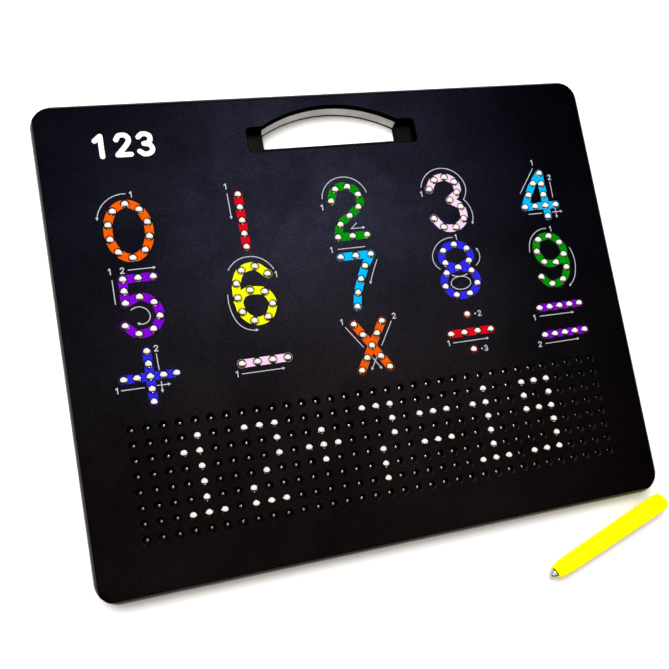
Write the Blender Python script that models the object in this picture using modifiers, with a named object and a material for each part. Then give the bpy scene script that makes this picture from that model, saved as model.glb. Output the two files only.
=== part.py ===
"""Magnetic bead board with a stylus.

A flat moulded board holds steel beads in cells under a perforated face. The stylus's magnet pulls a bead
up until it stands proud of the face, and a finger pushes it back down into its cell.

Metres, +Z up. The origin is the middle of the board's back face, which lies on the table. +X is to the
right and +Y is towards the handle. The stylus lies on the same table.
"""

import math

import bmesh
import bpy
from mathutils import Matrix, Vector

MM = 0.001

# Board shells
BOARD_WIDTH = 308 * MM
BOARD_HEIGHT = 250.6 * MM
BOARD_THICKNESS = 11 * MM
CORNER_RADIUS = 12 * MM
RIM_FILLET = 2.2 * MM
WALL = 2.2 * MM
FACE_THICKNESS = 1.8 * MM
BACK_THICKNESS = 1.8 * MM
PARTING_Z = 4.3 * MM
GAP = 0.3 * MM
CUT_PAST = 2.0 * MM

# Handle opening: a straight stylus slot with a finger arch above its middle
SLOT_HALF_WIDTH = 47.2 * MM
SLOT_LOW_Y = 93.2 * MM
SLOT_HIGH_Y = 106.8 * MM
SLOT_CORNER = 2.0 * MM
ARCH_CENTRE_X = -0.7 * MM
ARCH_HALF_WIDTH = 37.9 * MM
ARCH_RISE = 10.2 * MM
THROUGH_LOW_Y = 97.2 * MM
LEDGE_Z = 5.0 * MM
LINER_THICKNESS = 1.0 * MM
LINER_LOW_Z = 0.8 * MM
LINER_HIGH_Z = 7.4 * MM
LINER_SEAT_INSET = 0.5 * MM

# Beads and their cells
BEAD_RADIUS = 2.38 * MM
BEAD_RISE = 1.26 * MM
BEAD_TRAVEL = 4.4 * MM
HOLE_LIP_RADIUS = 2.15 * MM
HOLE_LIP_DEPTH = 1.1 * MM
CELL_RADIUS = 2.66 * MM
SHEET_HOLE_RADIUS = 2.52 * MM
ROUND_SIDES = 10
BEAD_RINGS = 6

# Bead grid
PITCH = 7.7 * MM
GRID_COLUMNS = 34
GRID_ROWS = 8
GRID_TOP_Y = -43.7 * MM
FIRST_JOINTED_COLUMN = 3
JOINTED_COLUMNS = 5

# The figure one, which is the figure whose beads are jointed
FIGURE_ONE_X = -57.1 * MM
FIGURE_ONE_Y = 56.2 * MM
FIGURE_ONE_STEP = 7.2 * MM
FIGURE_ONE_BEADS = 5

# What the middle columns of beads show, top row first: # is raised
RAISED_PATTERN = (
    ".....",
    ".#..#",
    "##...",
    ".#...",
    ".#...",
    ".#..#",
    "###.#",
    ".....",
)

# Inner layers
SHEET_TOP_Z = 8.9 * MM
SHEET_THICKNESS = 0.5 * MM
PLATE_TOP_Z = 8.1 * MM
PLATE_BOTTOM_Z = 2.1 * MM
CELL_FLOOR_Z = 2.9 * MM
PLATE_HALF_WIDTH = 137 * MM
PLATE_LOW_Y = -107 * MM
PLATE_HIGH_Y = 80 * MM
PLATE_CORNER = 3.0 * MM

# Case screws
SCREW_X = 144.5 * MM
SCREW_YS = (116 * MM, 0.0, -116 * MM)
BOSS_RADIUS = 4.6 * MM
BOSS_SIDES = 16
SCREW_HEAD_RADIUS = 2.8 * MM
SCREW_HEAD_HEIGHT = 1.3 * MM
SCREW_HEAD_DEPTH = 0.5 * MM
SCREW_HEAD_EDGE = 0.5 * MM
SCREW_SHANK_RADIUS = 1.2 * MM
SCREW_LENGTH = 7.0 * MM
SCREW_POINT = 1.2 * MM
SCREW_SIDES = 12
PILOT_CLEARANCE = 0.6 * MM
SCREW_HOLE_RADIUS = 1.6 * MM
SCREW_RECESS_RADIUS = 3.2 * MM
SCREW_RECESS_DEPTH = 2.1 * MM
DRIVE_WIDTH = 0.8 * MM
DRIVE_LENGTH = 3.2 * MM
DRIVE_DEPTH = 0.7 * MM

# Stylus, measured along its own axis from the tip of its nose
STYLUS_TIP = Vector((78.5 * MM, -159.8 * MM))
STYLUS_ANGLE = math.radians(19.2)
STYLUS_LENGTH = 83.5 * MM
STYLUS_FRONT = 13.0 * MM
STYLUS_FRONT_RADIUS = 4.75 * MM
STYLUS_REAR_RADIUS = 5.4 * MM
STYLUS_CAP_RADIUS = 5.1 * MM
STYLUS_CAP_LENGTH = 4.0 * MM
STYLUS_SIDES = 24


def clear_scene():
    for obj in list(bpy.data.objects):
        bpy.data.objects.remove(obj, do_unlink=True)


def new_collection(name, hidden=False):
    collection = bpy.data.collections.new(name)
    collection.hide_render = hidden
    bpy.context.scene.collection.children.link(collection)
    return collection


def new_material(name, colour, roughness, metallic=0.0):
    material = bpy.data.materials.new(name)
    material.use_nodes = True
    shader = material.node_tree.nodes["Principled BSDF"]
    shader.inputs["Base Color"].default_value = (*colour, 1.0)
    shader.inputs["Roughness"].default_value = roughness
    shader.inputs["Metallic"].default_value = metallic
    return material


def mesh_object(name, mesh, collection, material=None):
    obj = bpy.data.objects.new(name, mesh)
    collection.objects.link(obj)
    if material:
        mesh.materials.append(material)
    return obj


def arc_points(centre, radius, start, end, steps):
    """Points on an arc, both ends included, with the angles in radians."""
    points = []
    for i in range(steps + 1):
        angle = start + (end - start) * i / steps
        points.append(
            (centre[0] + radius * math.cos(angle), centre[1] + radius * math.sin(angle))
        )
    return points


def rounded_rectangle(low, high, radius, steps=6):
    """A rectangle's outline with round corners, anticlockwise from the lower right corner."""
    corners = (
        (high[0] - radius, low[1] + radius, -90),
        (high[0] - radius, high[1] - radius, 0),
        (low[0] + radius, high[1] - radius, 90),
        (low[0] + radius, low[1] + radius, 180),
    )
    points = []
    for x, y, start in corners:
        points += arc_points(
            (x, y), radius, math.radians(start), math.radians(start + 90), steps
        )
    return points


def board_outline(inset=0.0):
    half = Vector((BOARD_WIDTH / 2 - inset, BOARD_HEIGHT / 2 - inset))
    return rounded_rectangle(-half, half, CORNER_RADIUS - inset)


def arch_radius():
    return (ARCH_HALF_WIDTH**2 + ARCH_RISE**2) / (2 * ARCH_RISE)


def arch_points(half_width, outset, steps=16):
    """The finger arch from right to left, moved outwards from the opening by outset."""
    radius = arch_radius()
    centre_y = SLOT_HIGH_Y + ARCH_RISE - radius
    half_angle = math.asin(half_width / (radius + outset))
    return arc_points(
        (ARCH_CENTRE_X, centre_y),
        radius + outset,
        math.pi / 2 - half_angle,
        math.pi / 2 + half_angle,
        steps,
    )


def slot_outline(outset=0.0):
    """The stylus slot with the finger arch above its middle."""
    low = (-SLOT_HALF_WIDTH - outset, SLOT_LOW_Y - outset)
    high = (SLOT_HALF_WIDTH + outset, SLOT_HIGH_Y + outset)
    corners = rounded_rectangle(low, high, SLOT_CORNER + outset, 3)
    half_corner = len(corners) // 2
    return (
        corners[:half_corner] + arch_points(ARCH_HALF_WIDTH, outset) + corners[half_corner:]
    )


def through_outline(outset=0.0):
    """The hole for the fingers, right through the board."""
    right = (ARCH_CENTRE_X + ARCH_HALF_WIDTH, THROUGH_LOW_Y)
    left = (ARCH_CENTRE_X - ARCH_HALF_WIDTH, THROUGH_LOW_Y)
    return [right] + arch_points(ARCH_HALF_WIDTH, outset) + [left]


def slab(name, outline, low_z, high_z, collection, material=None, holes=()):
    """A flat outline, with holes where given, filled and thickened from low_z to high_z."""
    curve = bpy.data.curves.new(name, "CURVE")
    curve.dimensions = "2D"
    curve.fill_mode = "BOTH"
    curve.extrude = (high_z - low_z) / 2
    for points in (outline, *holes):
        spline = curve.splines.new("POLY")
        spline.points.add(len(points) - 1)
        for point, (x, y) in zip(spline.points, points):
            point.co = (x, y, 0.0, 1.0)
        spline.use_cyclic_u = True
    drawn = bpy.data.objects.new(name + "_outline", curve)
    bpy.context.scene.collection.objects.link(drawn)
    drawn.location.z = (low_z + high_z) / 2
    bpy.context.view_layer.update()
    evaluated = drawn.evaluated_get(bpy.context.evaluated_depsgraph_get())
    mesh = bpy.data.meshes.new_from_object(evaluated)
    mesh.name = name
    mesh.transform(drawn.matrix_world)
    bpy.data.objects.remove(drawn, do_unlink=True)
    bm = bmesh.new()
    bm.from_mesh(mesh)
    bmesh.ops.remove_doubles(bm, verts=bm.verts, dist=0.01 * MM)
    bmesh.ops.recalc_face_normals(bm, faces=bm.faces)
    bm.to_mesh(mesh)
    bm.free()
    mesh.materials.clear()
    return mesh_object(name, mesh, collection, material)


def round_top_rim(obj, top_z, fillet):
    """Rounds the edge between the top face and the outer wall."""
    bm = bmesh.new()
    bm.from_mesh(obj.data)
    on_top = [e for e in bm.edges if all(v.co.z > top_z - 0.01 * MM for v in e.verts)]
    rim = [e for e in on_top if e.calc_face_angle(0.0) > 1.0]
    bmesh.ops.bevel(
        bm, geom=rim, offset=fillet, segments=3, profile=0.5, affect="EDGES"
    )
    bm.to_mesh(obj.data)
    bm.free()


def hide_cutter(obj):
    obj.hide_render = True
    obj.display_type = "WIRE"


def combine(obj, other, operation):
    modifier = obj.modifiers.new(f"{operation.lower()} {other.name}", "BOOLEAN")
    modifier.operation = operation
    modifier.solver = "EXACT"
    modifier.object = other
    hide_cutter(other)


def spin_profile(bm, x, y, profile, sides):
    """Turns a profile of (flat-to-flat radius, z) once round the upright line through x, y."""
    to_corner = 1 / math.cos(math.pi / sides)
    points = [(0.0, profile[0][1]), *profile, (0.0, profile[-1][1])]
    verts = [bm.verts.new((x + radius * to_corner, y, z)) for radius, z in points]
    edges = [bm.edges.new(pair) for pair in zip(verts, verts[1:])]
    bmesh.ops.spin(
        bm,
        geom=verts + edges,
        cent=(x, y, 0.0),
        axis=(0.0, 0.0, 1.0),
        angle=math.tau,
        steps=sides,
        use_merge=True,
    )


def round_cutter(name, places, profile, collection, sides=ROUND_SIDES):
    """One turned cutter at each place, all in one mesh."""
    bm = bmesh.new()
    for x, y in places:
        spin_profile(bm, x, y, profile, sides)
    bmesh.ops.remove_doubles(bm, verts=bm.verts, dist=0.001 * MM)
    bmesh.ops.recalc_face_normals(bm, faces=bm.faces)
    mesh = bpy.data.meshes.new(name)
    bm.to_mesh(mesh)
    bm.free()
    return mesh_object(name, mesh, collection)


def turned(name, profile, collection, material, sides=STYLUS_SIDES):
    """A profile of (radius, height) turned about Z. It runs down its outer side, top to bottom."""
    bm = bmesh.new()
    verts = [bm.verts.new((radius, 0.0, height)) for radius, height in profile]
    for a, b in zip(verts, verts[1:]):
        bm.edges.new((a, b))
    mesh = bpy.data.meshes.new(name)
    bm.to_mesh(mesh)
    bm.free()
    obj = mesh_object(name, mesh, collection, material)
    screw = obj.modifiers.new("turn", "SCREW")
    screw.axis = "Z"
    screw.angle = math.tau
    screw.steps = sides
    screw.render_steps = sides
    screw.use_merge_vertices = True
    screw.merge_threshold = 0.001 * MM
    screw.use_smooth_shade = True
    return obj


def screw_places():
    return [(x, y) for y in SCREW_YS for x in (-SCREW_X, SCREW_X)]


def jointed_beads():
    """Each jointed bead as (name, x, y, raised at rest)."""
    beads = []
    for i in range(FIGURE_ONE_BEADS):
        y = FIGURE_ONE_Y + ((FIGURE_ONE_BEADS - 1) / 2 - i) * FIGURE_ONE_STEP
        beads.append((f"bead_one_{i + 1}", FIGURE_ONE_X, y, True))
    for c in range(JOINTED_COLUMNS):
        column = FIRST_JOINTED_COLUMN + c
        x = (column - (GRID_COLUMNS - 1) / 2) * PITCH
        for row in range(GRID_ROWS):
            y = GRID_TOP_Y - row * PITCH
            raised = RAISED_PATTERN[row][c] == "#"
            beads.append((f"bead_grid_c{column + 1:02d}_r{row + 1}", x, y, raised))
    return beads


def bead_places():
    return [(x, y) for _, x, y, _ in jointed_beads()]


def make_front_panel(parts, cutters, material):
    panel = slab(
        "front_panel", board_outline(), PARTING_Z, BOARD_THICKNESS, parts, material
    )
    round_top_rim(panel, BOARD_THICKNESS, RIM_FILLET)
    under_face = BOARD_THICKNESS - FACE_THICKNESS
    pocket = slab(
        "front_pocket",
        board_outline(WALL),
        PARTING_Z - CUT_PAST,
        under_face,
        cutters,
        holes=[slot_outline(WALL)],
    )
    bosses = round_cutter(
        "front_bosses",
        screw_places(),
        [(BOSS_RADIUS, PARTING_Z - 2 * CUT_PAST), (BOSS_RADIUS, under_face + CUT_PAST)],
        cutters,
        BOSS_SIDES,
    )
    combine(pocket, bosses, "DIFFERENCE")
    combine(panel, pocket, "DIFFERENCE")
    slot = slab(
        "slot_cutter", slot_outline(), LEDGE_Z, BOARD_THICKNESS + CUT_PAST, cutters
    )
    combine(panel, slot, "DIFFERENCE")
    fingers = slab(
        "finger_cutter", through_outline(), -CUT_PAST, LINER_HIGH_Z + GAP, cutters
    )
    combine(panel, fingers, "DIFFERENCE")
    liner_seat = slab(
        "liner_seat_cutter",
        liner_outline(LINER_THICKNESS + GAP, -LINER_SEAT_INSET),
        -2 * CUT_PAST,
        LINER_HIGH_Z + GAP,
        cutters,
    )
    combine(panel, liner_seat, "DIFFERENCE")
    holes = round_cutter(
        "bead_hole_cutter",
        bead_places(),
        [
            (CELL_RADIUS, under_face - CUT_PAST),
            (CELL_RADIUS, BOARD_THICKNESS - HOLE_LIP_DEPTH),
            (HOLE_LIP_RADIUS, BOARD_THICKNESS),
            (HOLE_LIP_RADIUS, BOARD_THICKNESS + CUT_PAST),
        ],
        cutters,
    )
    combine(panel, holes, "DIFFERENCE")
    pilots = round_cutter(
        "front_pilot_cutter",
        screw_places(),
        [
            (SCREW_HOLE_RADIUS, PARTING_Z - CUT_PAST),
            (SCREW_HOLE_RADIUS, under_face - PILOT_CLEARANCE),
        ],
        cutters,
        SCREW_SIDES,
    )
    combine(panel, pilots, "DIFFERENCE")
    return panel


def liner_outline(outer_outset, inner_outset):
    """A band that follows the finger arch, between two outsets from it."""
    outer = arch_points(ARCH_HALF_WIDTH, outer_outset)
    inner = arch_points(ARCH_HALF_WIDTH, inner_outset)
    return outer + inner[::-1]


def make_handle_liner(parts, material):
    return slab(
        "handle_liner",
        liner_outline(LINER_THICKNESS, 0.0),
        LINER_LOW_Z + GAP,
        LINER_HIGH_Z,
        parts,
        material,
    )


def make_back_cover(parts, cutters, material):
    top_z = PARTING_Z - GAP
    cover = slab("back_cover", board_outline(), 0.0, top_z, parts, material)
    pocket = slab(
        "back_pocket",
        board_outline(WALL),
        BACK_THICKNESS,
        top_z + CUT_PAST,
        cutters,
        holes=[slot_outline(WALL)],
    )
    bosses = round_cutter(
        "back_bosses",
        screw_places(),
        [(BOSS_RADIUS, BACK_THICKNESS - MM), (BOSS_RADIUS, top_z + 2 * CUT_PAST)],
        cutters,
        BOSS_SIDES,
    )
    combine(pocket, bosses, "DIFFERENCE")
    combine(cover, pocket, "DIFFERENCE")
    fingers = slab(
        "back_finger_cutter", through_outline(), -CUT_PAST, top_z + CUT_PAST, cutters
    )
    combine(cover, fingers, "DIFFERENCE")
    liner_seat = slab(
        "back_liner_seat_cutter",
        liner_outline(LINER_THICKNESS + GAP, -LINER_SEAT_INSET),
        LINER_LOW_Z,
        top_z + CUT_PAST,
        cutters,
    )
    combine(cover, liner_seat, "DIFFERENCE")
    holes = round_cutter(
        "back_screw_cutter",
        screw_places(),
        [
            (SCREW_RECESS_RADIUS, -CUT_PAST),
            (SCREW_RECESS_RADIUS, SCREW_RECESS_DEPTH),
            (SCREW_HOLE_RADIUS, SCREW_RECESS_DEPTH),
            (SCREW_HOLE_RADIUS, top_z + CUT_PAST),
        ],
        cutters,
        SCREW_SIDES,
    )
    combine(cover, holes, "DIFFERENCE")
    return cover


def plate_outline():
    low = (-PLATE_HALF_WIDTH, PLATE_LOW_Y)
    high = (PLATE_HALF_WIDTH, PLATE_HIGH_Y)
    return rounded_rectangle(low, high, PLATE_CORNER, 3)


def make_bead_cell_plate(parts, cutters, material):
    plate = slab(
        "bead_cell_plate", plate_outline(), PLATE_BOTTOM_Z, PLATE_TOP_Z, parts, material
    )
    cells = round_cutter(
        "cell_cutter",
        bead_places(),
        [(CELL_RADIUS, CELL_FLOOR_Z), (CELL_RADIUS, PLATE_TOP_Z + CUT_PAST)],
        cutters,
    )
    combine(plate, cells, "DIFFERENCE")
    return plate


def make_bead_retainer_sheet(parts, cutters, material):
    bottom = SHEET_TOP_Z - SHEET_THICKNESS
    sheet = slab(
        "bead_retainer_sheet", plate_outline(), bottom, SHEET_TOP_Z, parts, material
    )
    holes = round_cutter(
        "sheet_hole_cutter",
        bead_places(),
        [(SHEET_HOLE_RADIUS, bottom - CUT_PAST), (SHEET_HOLE_RADIUS, SHEET_TOP_Z + CUT_PAST)],
        cutters,
    )
    combine(sheet, holes, "DIFFERENCE")
    return sheet


def make_beads(parts, material):
    bm = bmesh.new()
    bmesh.ops.create_uvsphere(
        bm, u_segments=ROUND_SIDES, v_segments=BEAD_RINGS, radius=BEAD_RADIUS
    )
    mesh = bpy.data.meshes.new("bead")
    bm.to_mesh(mesh)
    bm.free()
    mesh.shade_smooth()
    mesh.materials.append(material)
    raised_z = BOARD_THICKNESS + BEAD_RISE - BEAD_RADIUS
    for name, x, y, raised in jointed_beads():
        bead = mesh_object(name, mesh, parts)
        bead.location = (x, y, raised_z if raised else raised_z - BEAD_TRAVEL)


def make_case_screws(parts, cutters, material):
    head_low = SCREW_HEAD_DEPTH
    head_high = head_low + SCREW_HEAD_HEIGHT
    end = head_low + SCREW_LENGTH
    profile = [
        (0.0, end),
        (0.5 * SCREW_SHANK_RADIUS, end - 0.1 * MM),
        (SCREW_SHANK_RADIUS, end - SCREW_POINT),
        (SCREW_SHANK_RADIUS, head_high),
        (SCREW_HEAD_RADIUS, head_high),
        (SCREW_HEAD_RADIUS, head_low + SCREW_HEAD_EDGE),
        (0.7 * SCREW_HEAD_RADIUS, head_low),
        (0.0, head_low),
    ]
    for i, (x, y) in enumerate(screw_places()):
        screw = turned(f"case_screw_{i + 1}", profile, parts, material, SCREW_SIDES)
        screw.location = (x, y, 0.0)
        drive = make_drive_cutter(f"drive_cutter_{i + 1}", x, y, cutters)
        combine(screw, drive, "DIFFERENCE")


def make_drive_cutter(name, x, y, cutters):
    """A cross recess in a screw's head."""
    bm = bmesh.new()
    bmesh.ops.create_cube(bm, size=1.0)
    depth = 2 * (SCREW_HEAD_DEPTH + DRIVE_DEPTH)
    bmesh.ops.scale(bm, vec=(DRIVE_LENGTH, DRIVE_WIDTH, depth), verts=bm.verts)
    mesh = bpy.data.meshes.new(name)
    bm.to_mesh(mesh)
    bm.free()
    bar = mesh_object(name, mesh, cutters)
    bar.location = (x, y, 0.0)
    other = mesh_object(name + "_cross", mesh.copy(), cutters)
    other.location = (x, y, 0.0)
    other.rotation_euler.z = math.pi / 2
    combine(bar, other, "UNION")
    return bar


def make_stylus(parts, plastic, cap_plastic, steel, magnet_finish):
    """The stylus's pieces share an empty that lays the tapered barrel's lowest line on the table."""
    empty = bpy.data.objects.new("stylus_frame", None)
    parts.objects.link(empty)
    barrel_end = STYLUS_LENGTH - STYLUS_CAP_LENGTH
    pitch = math.atan2(STYLUS_REAR_RADIUS - STYLUS_FRONT_RADIUS, barrel_end - STYLUS_FRONT)
    level = math.cos(pitch)
    along = Vector(
        (math.cos(STYLUS_ANGLE) * level, math.sin(STYLUS_ANGLE) * level, math.sin(pitch))
    )
    turn = Vector((0.0, 0.0, 1.0)).rotation_difference(along).to_matrix().to_4x4()
    tip_z = STYLUS_REAR_RADIUS * level - barrel_end * math.sin(pitch)
    place = Matrix.Translation((STYLUS_TIP.x, STYLUS_TIP.y, tip_z))
    empty.matrix_world = place @ turn
    tip = [
        (0.0, 8.0 * MM),
        (1.9 * MM, 8.0 * MM),
        (1.9 * MM, 3.6 * MM),
        (2.25 * MM, 3.3 * MM),
        (2.25 * MM, 2.6 * MM),
        (1.7 * MM, 1.0 * MM),
        (0.9 * MM, 0.2 * MM),
        (0.0, 0.0),
    ]
    barrel = [
        (3.5 * MM, barrel_end),
        (STYLUS_REAR_RADIUS, barrel_end),
        (STYLUS_FRONT_RADIUS, STYLUS_FRONT),
        (4.3 * MM, 7.0 * MM),
        (3.8 * MM, 4.4 * MM),
        (3.3 * MM, 3.7 * MM),
        (2.7 * MM, 3.7 * MM),
        (2.4 * MM, 4.1 * MM),
        (2.4 * MM, 8.3 * MM),
        (3.5 * MM, 8.3 * MM),
        (3.5 * MM, barrel_end),
    ]
    magnet = [
        (0.0, 18.0 * MM),
        (3.1 * MM, 18.0 * MM),
        (3.1 * MM, 8.6 * MM),
        (0.0, 8.6 * MM),
    ]
    cap = [
        (0.0, STYLUS_LENGTH),
        (0.62 * STYLUS_CAP_RADIUS, STYLUS_LENGTH),
        (STYLUS_CAP_RADIUS, STYLUS_LENGTH - 1.6 * MM),
        (STYLUS_CAP_RADIUS, barrel_end + GAP),
        (3.1 * MM, barrel_end + GAP),
        (3.1 * MM, barrel_end - 6.0 * MM),
        (0.0, barrel_end - 6.0 * MM),
    ]
    turned("stylus_barrel", barrel, parts, plastic).parent = empty
    turned("stylus_end_cap", cap, parts, cap_plastic).parent = empty
    turned("stylus_tip", tip, parts, steel, 16).parent = empty
    turned("stylus_magnet", magnet, parts, magnet_finish, 16).parent = empty


def main():
    clear_scene()
    parts = new_collection("magnetic_bead_board")
    cutters = new_collection("cutters", hidden=True)
    shell = new_material("shell_black", (0.012, 0.012, 0.017), 0.42)
    cover = new_material("cover_black", (0.02, 0.02, 0.02), 0.5)
    liner = new_material("liner_grey", (0.55, 0.55, 0.55), 0.4)
    plate = new_material("cell_plate_black", (0.03, 0.03, 0.03), 0.6)
    sheet = new_material("sheet_grey", (0.15, 0.15, 0.16), 0.8)
    steel = new_material("bead_steel", (0.75, 0.74, 0.72), 0.15, 1.0)
    yellow = new_material("stylus_yellow", (1.0, 0.9, 0.0), 0.35)
    magnet = new_material("magnet_nickel", (0.5, 0.5, 0.5), 0.3, 1.0)
    make_front_panel(parts, cutters, shell)
    make_back_cover(parts, cutters, cover)
    make_handle_liner(parts, liner)
    make_bead_cell_plate(parts, cutters, plate)
    make_bead_retainer_sheet(parts, cutters, sheet)
    make_beads(parts, steel)
    make_case_screws(parts, cutters, steel)
    make_stylus(parts, yellow, yellow, steel, magnet)


main()
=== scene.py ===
"""Looks of the magnetic bead board: its perforated face, steel beads, printed figures and stylus.

Metres, +Z up. The board lies face up on a table at z = 0, and +Y is towards its handle.
"""

import math

import bmesh
import bpy
import numpy as np
from mathutils import Matrix, Vector
from mathutils.geometry import delaunay_2d_cdt


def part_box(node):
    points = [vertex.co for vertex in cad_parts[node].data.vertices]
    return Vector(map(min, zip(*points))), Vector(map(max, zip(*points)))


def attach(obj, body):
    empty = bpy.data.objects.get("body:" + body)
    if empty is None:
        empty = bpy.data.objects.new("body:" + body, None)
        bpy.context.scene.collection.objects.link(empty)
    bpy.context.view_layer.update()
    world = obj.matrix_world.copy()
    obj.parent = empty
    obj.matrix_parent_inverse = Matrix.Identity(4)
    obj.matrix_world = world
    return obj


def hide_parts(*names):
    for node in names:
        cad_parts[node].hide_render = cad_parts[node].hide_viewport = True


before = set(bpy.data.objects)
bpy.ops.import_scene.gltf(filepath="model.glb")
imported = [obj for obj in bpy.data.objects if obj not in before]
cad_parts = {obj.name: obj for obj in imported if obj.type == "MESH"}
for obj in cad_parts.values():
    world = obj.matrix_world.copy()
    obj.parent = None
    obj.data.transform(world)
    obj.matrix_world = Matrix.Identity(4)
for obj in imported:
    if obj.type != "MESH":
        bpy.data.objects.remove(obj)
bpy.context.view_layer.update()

MM = 0.001
SAME_PLACE = 1e-6
FINE = 1e-7

# Board, as in the CAD part
PANEL_LOW, PANEL_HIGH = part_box("front_panel")
COVER_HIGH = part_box("back_cover")[1]
FACE_Z = PANEL_HIGH.z
HALF_BOARD = Vector((PANEL_HIGH.x, PANEL_HIGH.y))
CORNER_RADIUS = 12 * MM
CORNER_STEPS = 14
RIM_FILLET = 2.2 * MM
RIM_DROP = 5.5 * MM
RIM_STEPS = 10
WALL = 2.2 * MM
PUNCH_MARGIN = 0.1 * MM
FACE_THICKNESS = 1.8 * MM
UNDER_FACE_Z = FACE_Z - FACE_THICKNESS
PARTING_BEVEL = 0.35 * MM
GROOVE_INSET = 2.7 * MM
GROOVE_WIDTH = 0.35 * MM
GROOVE_DEPTH = 0.3 * MM
COVER_BEVEL = 0.8 * MM
COVER_FLOOR_Z = 1.8 * MM
CASE_SCREWS = [f"case_screw_{i}" for i in range(1, 7)]
RECESS_RADIUS = 3.2 * MM
RECESS_DEPTH = 2.1 * MM

# Handle opening
SLOT_HALF_WIDTH = 47.2 * MM
SLOT_LOW_Y = 93.2 * MM
SLOT_HIGH_Y = 106.8 * MM
SLOT_CORNER = 2.0 * MM
SLOT_CORNER_STEPS = 6
SLOT_EDGE = 0.5 * MM
ARCH_CENTRE_X = -0.7 * MM
ARCH_HALF_WIDTH = 37.9 * MM
ARCH_RISE = 10.2 * MM
ARCH_STEPS = 40
THROUGH_LOW_Y = 97.2 * MM
LEDGE_Z = 5.0 * MM
LINER_LOW, LINER_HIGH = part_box("handle_liner")
LINER_THICKNESS = 1.0 * MM
LINER_BEVEL = 0.2 * MM
SEAT_OVERLAP = 0.5 * MM
GAP = 0.3 * MM

# Beads and holes
BEAD_RADIUS = 2.38 * MM
BEAD_RISE = 1.26 * MM
RAISED_Z = FACE_Z + BEAD_RISE - BEAD_RADIUS
BEAD_TRAVEL = 4.4 * MM
HOLE_RADIUS = 2.23 * MM
CELL_RADIUS = 2.6 * MM
SHEET_HOLE_RADIUS = 2.52 * MM
CELL_FLOOR_Z = 2.9 * MM
CELL_FLOOR_ROUND = 0.4 * MM
LAYER_CORNER = 3 * MM
LAYER_CORNER_STEPS = 6
HOLE_SIDES = 24
HOLE_PROFILE = (  # (radius, depth below the face) from the lip down, clear of a raised bead
    (HOLE_RADIUS + 0.12 * MM, 0.0),
    (HOLE_RADIUS, 0.05 * MM),
    (HOLE_RADIUS, 0.2 * MM),
    (HOLE_RADIUS + 0.13 * MM, 0.5 * MM),
    (HOLE_RADIUS + 0.2 * MM, 0.95 * MM),
    (CELL_RADIUS, 1.1 * MM),
    (CELL_RADIUS, FACE_THICKNESS),
)

# Bead grid
PITCH = 7.7 * MM
GRID_COLUMNS = 34
GRID_ROWS = 8
GRID_TOP_Y = -43.7 * MM
SUM_TEXT = "12+7=19"
SUM_FIRST_COLUMN = 3
SUM_TOP_ROW = 1
GLYPH_PITCH = 4
GLYPHS = {
    "1": (".#.", "##.", ".#.", ".#.", ".#.", "###"),
    "2": ("###", "..#", "..#", ".#.", "#..", "###"),
    "7": ("###", "..#", "..#", ".#.", ".#.", ".#."),
    "9": ("###", "#.#", "###", "..#", "..#", "###"),
    "+": ("...", ".#.", "###", ".#.", "...", "..."),
    "=": ("...", "###", "...", "###", "...", "..."),
}

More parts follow.
